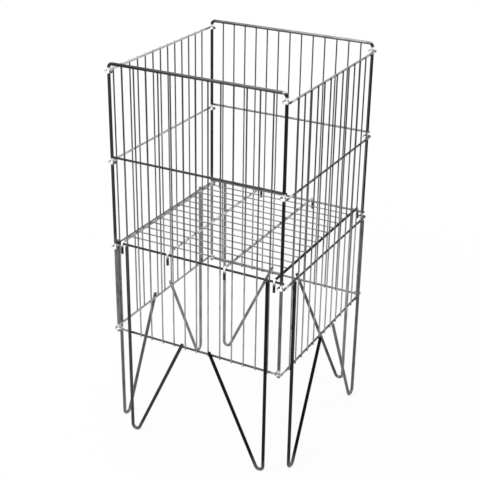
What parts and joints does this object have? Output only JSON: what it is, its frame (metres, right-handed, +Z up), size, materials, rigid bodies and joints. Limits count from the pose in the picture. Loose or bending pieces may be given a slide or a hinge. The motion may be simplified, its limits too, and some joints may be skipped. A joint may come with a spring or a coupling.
{
  "type": "retail dump bin",
  "caption": "Tall square wire dump bin: four hinged grid panels of bright plated steel wire on hairpin legs, with a hooked wire shelf that carries loose goods below an open top.",
  "frame": {"origin": "on the floor, in the middle of the bin's plan", "axes": "+Z up, +X to the right and -Y out of the front panel"},
  "size_m": [0.4368, 0.4452, 0.8682],
  "materials": {
    "plated_wire": "bright plated drawn wire"
  },
  "bodies": {
    "front_panel": {"front_frame": "plated_wire", "front_grid": "plated_wire", "front_left_leg": "plated_wire", "front_right_leg": "plated_wire"},
    "back_panel": {"back_frame": "plated_wire", "back_grid": "plated_wire", "back_left_leg": "plated_wire", "back_right_leg": "plated_wire"},
    "left_panel": {"left_grid": "plated_wire", "left_front_leg": "plated_wire", "left_back_leg": "plated_wire"},
    "right_panel": {"right_grid": "plated_wire", "right_front_leg": "plated_wire", "right_back_leg": "plated_wire"},
    "shelf": {"shelf_bar_1": "plated_wire", "shelf_bar_2": "plated_wire", "shelf_bar_3": "plated_wire", "shelf_bar_4": "plated_wire", "shelf_wire_01": "plated_wire", "shelf_wire_02": "plated_wire", "shelf_wire_03": "plated_wire", "shelf_wire_04": "plated_wire", "shelf_wire_05": "plated_wire", "shelf_wire_06": "plated_wire", "shelf_wire_07": "plated_wire", "shelf_wire_08": "plated_wire", "shelf_wire_09": "plated_wire", "shelf_wire_10": "plated_wire", "shelf_wire_11": "plated_wire", "shelf_wire_12": "plated_wire", "shelf_wire_13": "plated_wire", "shelf_wire_14": "plated_wire"}
  },
  "joints": [
    {"name": "left_hinge", "type": "hinge", "parent": "front_panel", "child": "left_panel", "pos_m": [-0.2, -0.21374, 0.55], "axis": [0, 0, 1], "range_deg": [-0.5, 0.5]},
    {"name": "right_hinge", "type": "hinge", "parent": "front_panel", "child": "right_panel", "pos_m": [0.2, -0.21374, 0.55], "axis": [0, 0, 1], "range_deg": [-0.5, 0.5]},
    {"name": "back_hinge", "type": "hinge", "parent": "left_panel", "child": "back_panel", "pos_m": [-0.2, 0.20626, 0.55], "axis": [0, 0, 1], "range_deg": [-0.5, 0.5]},
    {"name": "shelf_lift", "type": "slide", "parent": "front_panel", "child": "shelf", "axis": [0, 0, 1], "range_m": [0, 0.17]}
  ],
  "couplings": [
    {"joint": "right_hinge", "follows": "left_hinge", "ratio": 1},
    {"joint": "back_hinge", "follows": "left_hinge", "ratio": -1}
  ]
}
